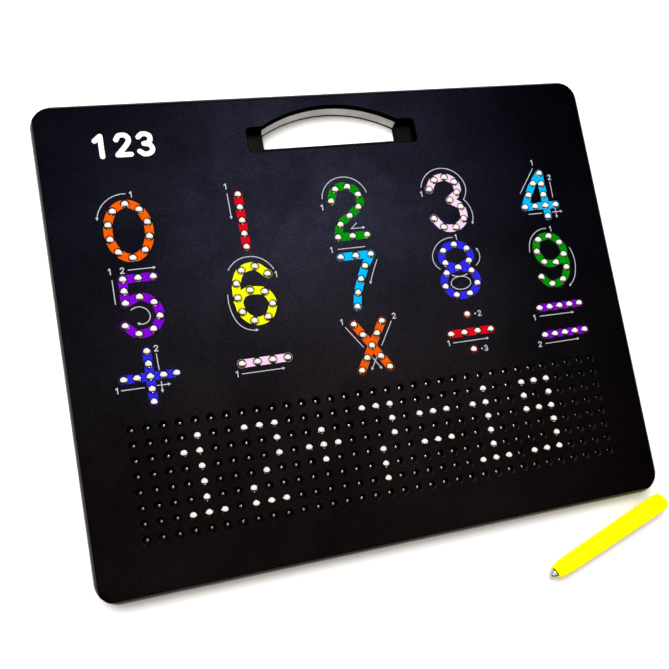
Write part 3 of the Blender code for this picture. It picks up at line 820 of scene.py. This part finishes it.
class Finish:
    """A material with a Principled shader, and short ways to feed it."""

    def __init__(self, name, colour, roughness, **settings):
        self.material = bpy.data.materials.new(name)
        self.material.use_nodes = True
        self.tree = self.material.node_tree
        self.shader = self.tree.nodes["Principled BSDF"]
        self.coordinates = self.node("TexCoord", "Object")
        self.feed("Base Color", colour)
        self.feed("Roughness", roughness)
        for key, value in settings.items():
            self.feed(key.replace("_", " "), value)

    def node(self, kind, output, inputs=None, operation=None):
        return add_node(self.tree, kind, output, inputs or {}, operation)

    def feed(self, key, value):
        fill(self.tree, self.shader, {key: value})

    def noise(self, size, detail=4.0, roughness=0.55, stretch=None):
        """Noise whose features are about size across, as a value round a half."""
        place = self.coordinates
        if stretch:
            place = self.node("Mapping", "Vector", {"Vector": place, "Scale": stretch})
        inputs = {"Vector": place, "Scale": 1.0 / size, "Detail": detail, "Roughness": roughness}
        return self.node("TexNoise", "Fac", inputs)

    def cells(self, size):
        """The distance from the middle of random cells about size across."""
        return self.node("TexVoronoi", "Distance", {"Vector": self.coordinates, "Scale": 1.0 / size})

    def along(self, axis):
        """The distance along one of the object's axes."""
        return self.node("SeparateXYZ", axis, {0: self.coordinates})

    def maths(self, operation, *values):
        """One arithmetic operation on values or plain numbers."""
        return self.node("Math", 0, dict(enumerate(values)), operation)

    def beyond(self, axis, limit):
        """One where the object is further out along the axis than the limit, otherwise zero."""
        return self.maths("GREATER_THAN", self.maths("ABSOLUTE", self.along(axis)), limit)

    def ranged(self, value, low, high, to_low, to_high):
        """A value from low to high stretched to run from to_low to to_high."""
        limits = {"From Min": low, "From Max": high, "To Min": to_low, "To Max": to_high}
        return self.node("MapRange", "Result", {"Value": value, **limits})

    def ramp(self, value, stops):
        return add_ramp(self.tree, value, stops)

    def mixed(self, share, first, second, kind="MIX"):
        return add_mix(self.tree, share, first, second, kind)

    def mottle(self, size, low, high, detail=4.0):
        """Noise as a colour between two colours."""
        return self.ramp(self.noise(size, detail), ((NOISE_LOW, low), (NOISE_HIGH, high)))

    def wear(self, size, low, high, detail=4.0):
        """Feeds a roughness that varies between two values."""
        noise = self.noise(size, detail)
        self.feed("Roughness", self.ranged(noise, NOISE_LOW, NOISE_HIGH, low, high))

    def bump(self, height, distance):
        """Feeds relief of about that depth in metres."""
        self.feed("Normal", self.node("Bump", "Normal", {"Height": height, "Distance": distance}))


def rim_share(finish):
    """One on the rounded edge round the board, zero inside it."""
    side = finish.beyond("X", HALF_BOARD.x - RIM_FILLET)
    end = finish.beyond("Y", HALF_BOARD.y - RIM_FILLET)
    return finish.maths("MAXIMUM", side, end)


def face_finish():
    """Satin black plastic with a fine grain, and a painted reflection that runs from a warmer, brighter
    black at the front edge to a colder, dimmer black at the handle. Painted shade dims it towards its
    right side and below the face, down the walls of the holes and on the handle's ledge.

    Inside the rim it is metallic with a black edge tint, so that it stays dark at low angles of view.
    The rim is plain plastic.
    """
    finish = Finish("shell_black_satin", (0.004, 0.004, 0.005), 0.42, Metallic=1.0)
    # Painted reflection: the mirror colour runs from a warmer, brighter black at the front edge to a
    # colder, dimmer black at the handle.
    length = finish.ranged(finish.along("Y"), -HALF_BOARD.y, HALF_BOARD.y, 0.0, 1.0)
    # Painted shade: more than a millimetre below the face the colour goes nearly black, down the hole
    # walls, on the handle's ledge and low on the board's sides.
    depth = finish.ranged(finish.along("Z"), LEDGE_Z + MM, FACE_Z - MM, 0.0, 1.0)
    painted_light = finish.mixed(depth, PAINTED_HOLLOW_SHADE, finish.ramp(length, FACE_PAINTED_SHEEN))
    # Painted shade: the face dims towards its right edge.
    side = finish.ranged(finish.along("X"), SIDE_SHADE_START, HALF_BOARD.x, 1.0, SIDE_SHADE_SHARE)
    painted_light = finish.mixed(1.0, painted_light, side, "MULTIPLY")
    clouds = finish.ramp(finish.noise(45 * MM, 4.0, 0.6), FACE_CLOUDS)
    speckle = finish.ramp(finish.noise(0.9 * MM, 2.0, 0.7), FACE_SPECKLE)
    spots = finish.mixed(1.0, clouds, speckle, "MULTIPLY")
    finish.feed("Base Color", finish.mixed(1.0, painted_light, spots, "MULTIPLY"))
    rim = rim_share(finish)
    finish.feed("Specular Tint", rim)
    finish.feed("Metallic", finish.maths("SUBTRACT", 1.0, rim))
    finish.wear(25 * MM, 0.36, 0.48, 5.0)
    finish.bump(finish.noise(0.7 * MM, 3.0, 0.6), 0.012 * MM)
    return finish.material


def cover_finish():
    """Black plastic with a coarser spark-eroded grain, glossy only on its rounded edge."""
    finish = Finish("cover_black_grain", (0.006, 0.006, 0.0065), 0.5)
    finish.feed("Specular IOR Level", finish.maths("MULTIPLY", rim_share(finish), RIM_GLOSS))
    finish.feed("Base Color", finish.mottle(40 * MM, (0.004, 0.004, 0.0045), (0.008, 0.008, 0.0085)))
    finish.wear(6 * MM, 0.45, 0.6)
    finish.bump(finish.cells(0.6 * MM), 0.03 * MM)
    return finish.material


def mottled_finish(name, colour, roughness, tint, wear, grain, **settings):
    """A finish by its mottle, its wear and its grain, where the grain is (size, depth)."""
    finish = Finish(name, colour, roughness, **settings)
    finish.feed("Base Color", finish.mottle(*tint))
    finish.wear(*wear)
    finish.bump(finish.noise(grain[0], 2.0), grain[1])
    return finish.material


def liner_finish():
    """Soft light grey plastic."""
    tint = (14 * MM, (0.44, 0.44, 0.445), (0.6, 0.6, 0.6))
    wear, grain = (5 * MM, 0.4, 0.6), (0.5 * MM, 0.01 * MM)
    return mottled_finish("liner_grey_soft", (0.5, 0.5, 0.5), 0.5, tint, wear, grain)


def plate_finish():
    """Matt black plastic."""
    tint = (20 * MM, (0.004, 0.004, 0.004), (0.009, 0.009, 0.009))
    wear, grain = (3 * MM, 0.5, 0.7), (0.4 * MM, 0.01 * MM)
    return mottled_finish("cell_plate_matt", (0.006, 0.006, 0.006), 0.6, tint, wear, grain)


def sheet_finish():
    """Charcoal foam sheet."""
    finish = Finish("sheet_charcoal_foam", (0.012, 0.012, 0.013), 0.85)
    stops = ((0.1, (0.007, 0.007, 0.008)), (0.6, (0.018, 0.018, 0.019)))
    finish.feed("Base Color", finish.ramp(finish.cells(0.5 * MM), stops))
    finish.wear(2 * MM, 0.75, 0.95)
    finish.bump(finish.cells(0.5 * MM), 0.05 * MM)
    return finish.material


def steel_finish(name, roughness, shine=1.0, shaded=None):
    """Polished steel with a faint brushed bloom, and painted shade that darkens it from the upper of the
    two heights in shaded down to the lower.
    """
    finish = Finish(name, STEEL, roughness, Metallic=1.0)
    tint = finish.mottle(3 * MM, tinted(STEEL_LOW, shine), tinted(STEEL_HIGH, shine), 3.0)
    # Painted shade: beads that sit low in their cells darken to a dim steel.
    if shaded:
        height = finish.node("SeparateXYZ", "Z", {0: finish.node("NewGeometry", "Position")})
        tint = finish.mixed(finish.ranged(height, *shaded, 0.0, 1.0), CELL_SHADE, tint)
    finish.feed("Base Color", tint)
    finish.wear(0.8 * MM, 0.7 * roughness, 1.3 * roughness, 3.0)
    finish.bump(finish.noise(0.35 * MM, 2.0, stretch=(1.0, 1.0, 0.3)), 0.002 * MM)
    return finish.material


def yellow_finish(name):
    """Yellow moulded plastic."""
    tint = (12 * MM, tinted(YELLOW, 0.94), tinted(YELLOW, 1.05))
    wear, grain = (4 * MM, 0.24, 0.36), (1.2 * MM, 0.01 * MM)
    return mottled_finish(name, YELLOW, 0.3, tint, wear, grain, Specular_IOR_Level=0.02)


def ink_finish(name, colour):
    """A matt printed layer."""
    tint = (2.5 * MM, tinted(colour, 0.9), tinted(colour, 1.06), 3.0)
    wear, grain = (3 * MM, 0.42, 0.58), (0.5 * MM, 0.006 * MM)
    return mottled_finish("ink_" + name, colour, 0.5, tint, wear, grain, Specular_IOR_Level=0.0)


def nickel_finish():
    """Nickel plating."""
    finish = Finish("magnet_nickel", (0.6, 0.58, 0.53), 0.3, Metallic=1.0)
    finish.wear(2 * MM, 0.22, 0.4)
    finish.bump(finish.noise(0.5 * MM, 2.0), 0.004 * MM)
    return finish.material


def paint(obj, material):
    obj.data.materials.clear()
    obj.data.materials.append(material)


def place_piece(obj, body, material, slot, *nodes):
    """Gives a piece its finish and body, and hides the CAD nodes that it stands for. The slot is not
    used.
    """
    paint(obj, material)
    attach(obj, body)
    if nodes:
        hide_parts(*nodes)


# Bead places


def grid_place(column, row):
    return Vector(((column - (GRID_COLUMNS - 1) / 2) * PITCH, GRID_TOP_Y - row * PITCH))


def raised_in_grid():
    """The (column, row) of each bead that the sum raises."""
    raised = set()
    for i, character in enumerate(SUM_TEXT):
        for r, line in enumerate(GLYPHS[character]):
            for c, mark in enumerate(line):
                if mark == "#":
                    raised.add((SUM_FIRST_COLUMN + i * GLYPH_PITCH + c, SUM_TOP_ROW + r))
    return raised


def figure_beads(name):
    centre, _, strokes = FIGURES[name]
    centre = Vector(centre) * MM
    places = []
    for kind, points, beads, *left_out in strokes:
        path, closed = stroke_path(kind, points, centre)
        if beads:
            found = spaced(path, beads, closed) if len(path) > 1 else path
            places += [p for i, p in enumerate(found) if i not in left_out]
    return places


# Pieces


def opening_cutters(pocket_low, pocket_high, low, high, seat_low):
    """What both shells lose: the pocket inside the walls, the finger hole and the liner's seat."""
    through = through_outline()
    seat = liner_outline(LINER_THICKNESS + GAP, -SEAT_OVERLAP)
    return (
        film("pocket_cutter", [board_outline(WALL)], [slot_outline(WALL)], pocket_low, pocket_high),
        lofted("finger_cutter", [(through, low), (through, high)]),
        lofted("liner_seat_cutter", [(seat, seat_low), (seat, high)]),
    )


def make_front_panel(places, material):
    rings = [
        (board_outline(PARTING_BEVEL), PANEL_LOW.z),
        (board_outline(), PANEL_LOW.z + PARTING_BEVEL),
    ]
    for i in range(RIM_STEPS + 1):
        turn = math.pi / 2 * i / RIM_STEPS
        inset = RIM_FILLET * (1 - math.cos(turn))
        rings.append((board_outline(inset), FACE_Z - RIM_DROP * (1 - math.sin(turn))))
    panel = lofted("front_panel_shell", rings)
    groove_edges = [board_outline(GROOVE_INSET)], [board_outline(GROOVE_INSET + GROOVE_WIDTH)]
    groove = film("groove_cutter", *groove_edges, FACE_Z - GROOVE_DEPTH, FACE_Z + MM)
    high = LINER_HIGH.z + GAP
    pocket, fingers, liner_seat = opening_cutters(PANEL_LOW.z - MM, UNDER_FACE_Z, 0.0, high, 0.0)
    slot = lofted(
        "slot_cutter",
        [
            (slot_outline(), LEDGE_Z),
            (slot_outline(), FACE_Z - SLOT_EDGE),
            (slot_outline(0.15 * SLOT_EDGE), FACE_Z - 0.5 * SLOT_EDGE),
            (slot_outline(0.5 * SLOT_EDGE), FACE_Z - 0.15 * SLOT_EDGE),
            (slot_outline(SLOT_EDGE), FACE_Z),
            (slot_outline(SLOT_EDGE), FACE_Z + MM),
        ],
    )
    cut_with(panel, [groove, pocket, slot, fingers, liner_seat])
    bm = bmesh.new()
    bm.from_mesh(panel.data)
    bmesh.ops.remove_doubles(bm, verts=bm.verts, dist=SAME_PLACE)
    profile = [(radius, FACE_Z - depth) for radius, depth in HOLE_PROFILE]
    top = punch(bm, FACE_Z, GROOVE_INSET + 0.5 * GROOVE_WIDTH, places, profile[0][0])
    bottom = punch(bm, UNDER_FACE_Z, WALL - PUNCH_MARGIN, places, profile[-1][0])
    add_shafts(bm, places, top, profile, bottom)
    bpy.data.objects.remove(panel, do_unlink=True)
    panel = new_object("front_panel_shell", bm, 30)
    place_piece(panel, "board", material, "shell_black", "front_panel")


def layer_outline():
    low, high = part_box("bead_cell_plate")
    return rounded_rectangle(low, high, LAYER_CORNER, LAYER_CORNER_STEPS)


def make_cell_plate(places, material):
    low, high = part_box("bead_cell_plate")
    bm = bmesh.new()
    top = add_ring(bm, layer_outline(), high.z)
    bottom = add_ring(bm, layer_outline(), low.z)
    join_rings(bm, top, bottom)
    bm.faces.new(bottom)
    rings = punch(bm, high.z, 0.0, places, CELL_RADIUS)
    profile = [
        (CELL_RADIUS, high.z),
        (CELL_RADIUS, CELL_FLOOR_Z + CELL_FLOOR_ROUND),
        (CELL_RADIUS - CELL_FLOOR_ROUND, CELL_FLOOR_Z),
    ]
    add_shafts(bm, places, rings, profile)
    plate = new_object("bead_cell_layer", bm, 30)
    place_piece(plate, "board", material, "cell_plate_black", "bead_cell_plate")


def make_retainer_sheet(places, material):
    low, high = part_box("bead_retainer_sheet")
    holes = [circle_points(p, SHEET_HOLE_RADIUS) for p in places]
    sheet = film("bead_retainer_layer", [layer_outline()], holes, low.z, high.z)
    place_piece(sheet, "board", material, "sheet_grey", "bead_retainer_sheet")


def make_handle_liner(material):
    full = liner_outline(LINER_THICKNESS, 0.0)
    thin = liner_outline(LINER_THICKNESS - LINER_BEVEL, LINER_BEVEL)
    rings = [
        (thin, LINER_LOW.z),
        (full, LINER_LOW.z + LINER_BEVEL),
        (full, LINER_HIGH.z - LINER_BEVEL),
        (thin, LINER_HIGH.z),
    ]
    liner = lofted("handle_liner_band", rings)
    place_piece(liner, "board", material, "liner_grey", "handle_liner")


def make_back_cover(material):
    bevel = COVER_BEVEL
    top_z = COVER_HIGH.z
    rings = [
        (board_outline(bevel), 0.0),
        (board_outline(0.3 * bevel), 0.3 * bevel),
        (board_outline(), bevel),
        (board_outline(), top_z - PARTING_BEVEL),
        (board_outline(PARTING_BEVEL), top_z),
    ]
    cover = lofted("back_cover_shell", rings)
    above = top_z + MM
    cutters = [*opening_cutters(COVER_FLOOR_Z, above, -MM, above, LINER_LOW.z - GAP)]
    for screw in CASE_SCREWS:
        low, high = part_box(screw)
        recess = circle_points((low + high) / 2, RECESS_RADIUS, 32)
        cutters.append(lofted(screw + "_recess_cutter", [(recess, -MM), (recess, RECESS_DEPTH)]))
    cut_with(cover, cutters)
    shade(cover.data, 30)
    place_piece(cover, "board", material, "cover_black", "back_cover")


def make_balls(name, places):
    """A ball at each place (x, y, z), all in one mesh."""
    bm = bmesh.new()
    bmesh.ops.create_uvsphere(bm, u_segments=24, v_segments=16, radius=BEAD_RADIUS)
    corners = [v.co.copy() for v in bm.verts]
    faces = [[v.index for v in f.verts] for f in bm.faces]
    bm.free()
    points, polygons = [], []
    for place in places:
        polygons += [[i + len(points) for i in face] for face in faces]
        points += [co + place for co in corners]
    mesh = bpy.data.meshes.new(name)
    mesh.from_pydata(points, [], polygons)
    mesh.shade_smooth()
    return add_object(name, mesh)


def make_jointed_beads(material):
    """One ball for each jointed CAD bead, on the same centre. Returns their places."""
    places = []
    for node in sorted(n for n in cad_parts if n.startswith(("bead_grid_", "bead_one_"))):
        low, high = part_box(node)
        centre = (low + high) / 2
        place_piece(make_balls(node + "_ball", [centre]), node, material, "bead_steel", node)
        places.append(centre.to_2d())
    return places


def make_bead_group(name, places, z, material):
    balls = make_balls(name, [Vector((p[0], p[1], z)) for p in places])
    place_piece(balls, "board", material, "bead_steel")


def make_other_beads(jointed, material):
    """The beads that have no CAD node of their own, grouped by figure and by grid state."""

    def free(places):
        return [p for p in places if all((p - q).length > BEAD_RADIUS for q in jointed)]

    for name in FIGURES:
        places = free(figure_beads(name))
        if places:
            make_bead_group(f"beads_figure_{name}", places, RAISED_Z, material)
    raised = raised_in_grid()
    cells = [(c, r) for c in range(GRID_COLUMNS) for r in range(GRID_ROWS)]
    up = free([grid_place(*cell) for cell in cells if cell in raised])
    down = free([grid_place(*cell) for cell in cells if cell not in raised])
    make_bead_group("beads_grid_raised", up, RAISED_Z, material)
    make_bead_group("beads_grid_parked", down, RAISED_Z - BEAD_TRAVEL, material)


def make_figure_inks(inks):
    for name, (centre, colour, strokes) in FIGURES.items():
        kept = []
        for kind, points, *_ in strokes:
            path, closed = stroke_path(kind, points, Vector(centre) * MM)
            if kind != "dot":
                kept += stroke_outlines(path, closed, INK_WIDTH)
            if not closed:
                ends = path[:1] + path[1:][-1:]
                kept += [circle_points(p, INK_END_RADIUS, 48) for p in ends]
        holes = [circle_points(p, HOLE_PROFILE[0][0]) for p in figure_beads(name)]
        ink = film(f"ink_figure_{name}", kept, holes, INK_LOW_Z, INK_TOP_Z)
        place_piece(ink, "board", inks[colour], "shell_black")


def numeral_outlines(character, centre, scale, width):
    outlines = []
    for points in NUMERALS[character]:
        placed = [Vector(p) * MM * scale + centre for p in points]
        path = smoothed(placed) if len(placed) > 2 else placed
        outlines += stroke_outlines(path, False, width)
    return outlines


def arrow_outlines(path):
    """A thin line that ends in an arrowhead at the path's last point."""
    end = path[-1]
    while len(path) > 2 and (end - path[-2]).length < ARROW_LENGTH:
        path = [*path[:-2], end]
    along = (end - path[-2]).normalized()
    side = along.orthogonal() * ARROW_WIDTH / 2
    back = end - along * ARROW_LENGTH
    head = [tuple(end), tuple(back + side), tuple(back - side)]
    return stroke_outlines([*path[:-1], back], False, MARK_WIDTH) + [head]


def mark_outlines(kind, where, centre):
    if kind in NUMERALS:
        return numeral_outlines(kind, Vector(where) * MM + centre, NUMERAL_SCALE, NUMERAL_WIDTH)
    if kind == "point":
        return [circle_points(Vector(where) * MM + centre, POINT_RADIUS)]
    if kind == "ring":
        path, closed = stroke_path("ellipse", where, centre)
        return stroke_outlines(path, closed, MARK_WIDTH)
    path = [Vector(p) * MM + centre for p in where]
    if kind.startswith("arc"):
        path = arc_through(*path)
    return arrow_outlines(path) if kind.endswith("to") else stroke_outlines(path, False, MARK_WIDTH)


def make_marks(inks):
    for name, marks in MARKS.items():
        centre = Vector(FIGURES[name][0]) * MM
        kept = [outline for kind, where in marks for outline in mark_outlines(kind, where, centre)]
        mark = film(f"marks_{name}", kept, [], INK_LOW_Z, INK_TOP_Z)
        place_piece(mark, "board", inks["grey"], "shell_black")


def make_title(inks):
    kept = []
    for i, character in enumerate(TITLE_TEXT):
        centre = TITLE_CENTRE + Vector(((i - 1) * TITLE_PITCH, 0.0))
        kept += numeral_outlines(character, centre, TITLE_SCALE, TITLE_WIDTH)
    title = film("ink_title", kept, [], INK_LOW_Z, INK_TOP_Z)
    place_piece(title, "board", inks["white"], "shell_black")


def make_stylus(yellow, cap_yellow, steel):
    """The stylus, which lies on the table along the lower side of its tapered barrel."""
    taper = math.atan2(STYLUS_REAR_RADIUS - STYLUS_FRONT_RADIUS, STYLUS_BARREL_END - STYLUS_FRONT)
    level = math.cos(taper)
    along = Vector((math.cos(STYLUS_ANGLE) * level, math.sin(STYLUS_ANGLE) * level, math.sin(taper)))
    turn = Vector((0.0, 0.0, 1.0)).rotation_difference(along).to_matrix().to_4x4()
    tip_z = STYLUS_REAR_RADIUS * level - STYLUS_BARREL_END * math.sin(taper)
    place = Matrix.Translation((STYLUS_TIP.x, STYLUS_TIP.y, tip_z)) @ turn
    pieces = (
        ("stylus_barrel", STYLUS_BARREL, 0.5 * MM, yellow, "stylus_yellow"),
        ("stylus_end_cap", STYLUS_CAP, 0.6 * MM, cap_yellow, "stylus_yellow"),
        ("stylus_tip", STYLUS_NOSE, 0.3 * MM, steel, "tip_steel"),
    )
    for node, profile, rounding, material, slot in pieces:
        piece = turned(node + "_body", rounded_profile(profile, rounding), STYLUS_SIDES, place)
        bm = bmesh.new()
        bm.from_mesh(piece.data)
        bmesh.ops.remove_doubles(bm, verts=bm.verts, dist=FINE)
        bmesh.ops.recalc_face_normals(bm, faces=bm.faces)
        bm.to_mesh(piece.data)
        bm.free()
        place_piece(piece, "stylus", material, slot, node)


# Stage


def make_floor():
    bm = bmesh.new()
    bmesh.ops.create_grid(bm, x_segments=1, y_segments=1, size=FLOOR_SIZE)
    floor = new_object("studio_floor", bm)
    floor.location.z = -FLOOR_DROP
    paint(floor, Finish("studio_white", FLOOR_COLOUR, 0.8, Specular_IOR_Level=0.1).material)


def make_world():
    """A white sky that turns warm and then nearly black towards the near side, and fades at the horizon.

    The camera itself sees plain white.
    """
    world = bpy.data.worlds.new("studio_sky")
    bpy.context.scene.world = world
    world.use_nodes = True
    tree = world.node_tree
    direction = add_node(tree, "TexCoord", "Generated", {})
    lean = add_node(tree, "VectorMath", "Value", {0: direction, 1: SKY_LEAN}, "DOT_PRODUCT")
    share = add_node(tree, "MapRange", "Result", {"Value": lean, "From Min": -1.0})
    height = add_node(tree, "SeparateXYZ", "Z", {0: direction})
    limits = {"From Max": SKY_FULL_HEIGHT, "To Min": SKY_LOW_SHARE}
    strength = add_node(tree, "MapRange", "Result", {"Value": height, **limits})
    colour = add_ramp(tree, share, SKY_STOPS)
    sky = add_node(tree, "VectorMath", 0, {0: colour, "Scale": strength}, "SCALE")
    seen = add_node(tree, "LightPath", "Is Camera Ray", {})
    backdrop = add_mix(tree, seen, sky, WHITE)
    fill(tree, tree.nodes["Background"], {"Color": backdrop, "Strength": SKY_STRENGTH})


def make_light(name, place, size, power):
    """A round lamp aimed at LIGHT_TARGET."""
    light = bpy.data.lights.new(name, "AREA")
    light.shape = "DISK"
    light.size = size
    light.energy = power
    obj = add_object(name, light)
    obj.location = place
    obj.rotation_euler = (LIGHT_TARGET - Vector(place)).to_track_quat("-Z", "Y").to_euler()
    return obj


def make_camera():
    camera = bpy.data.cameras.new("camera")
    camera.lens = CAMERA_LENS
    camera.sensor_width = CAMERA_SENSOR
    camera.shift_x, camera.shift_y = CAMERA_SHIFT
    camera.clip_start = CAMERA_NEAR
    obj = add_object("camera", camera)
    forward = CAMERA_FORWARD.normalized()
    right = forward.cross(CAMERA_UP).normalized()
    up = right.cross(forward)
    axes = Matrix((right, up, -forward)).transposed().to_4x4()
    obj.matrix_world = Matrix.Translation(CAMERA_PLACE) @ axes
    bpy.context.scene.camera = obj


def make_lights():
    """The key light makes the gleams, and the soft one lights the surfaces and casts the shadows."""
    key = make_light("key_light", KEY_PLACE, KEY_SIZE, KEY_POWER)
    key.visible_diffuse = False
    soft = make_light("soft_light", SOFT_PLACE, SOFT_SIZE, SOFT_POWER)
    soft.visible_glossy = False


def main():
    bpy.context.scene.view_settings.view_transform = "Standard"
    inks = {name: ink_finish(name, colour) for name, colour in INKS.items()}
    bead_steel = steel_finish("bead_steel_polished", 0.06, BEAD_SHINE, CELL_SHADE_HEIGHTS)
    make_other_beads(make_jointed_beads(bead_steel), bead_steel)
    places = [p for name in FIGURES for p in figure_beads(name)]
    places += [grid_place(c, r) for c in range(GRID_COLUMNS) for r in range(GRID_ROWS)]
    make_front_panel(places, face_finish())
    make_cell_plate(places, plate_finish())
    make_retainer_sheet(places, sheet_finish())
    make_handle_liner(liner_finish())
    make_back_cover(cover_finish())
    make_figure_inks(inks)
    make_marks(inks)
    make_title(inks)
    tip_steel = steel_finish("tip_steel_polished", 0.1, TIP_SHINE)
    make_stylus(yellow_finish("stylus_yellow_gloss"), yellow_finish("stylus_cap_yellow"), tip_steel)
    screw_steel = steel_finish("screw_steel_zinc", 0.25)
    for screw in CASE_SCREWS:
        paint(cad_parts[screw], screw_steel)
    paint(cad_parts["stylus_magnet"], nickel_finish())
    make_floor()
    make_world()
    make_lights()
    make_camera()


main()
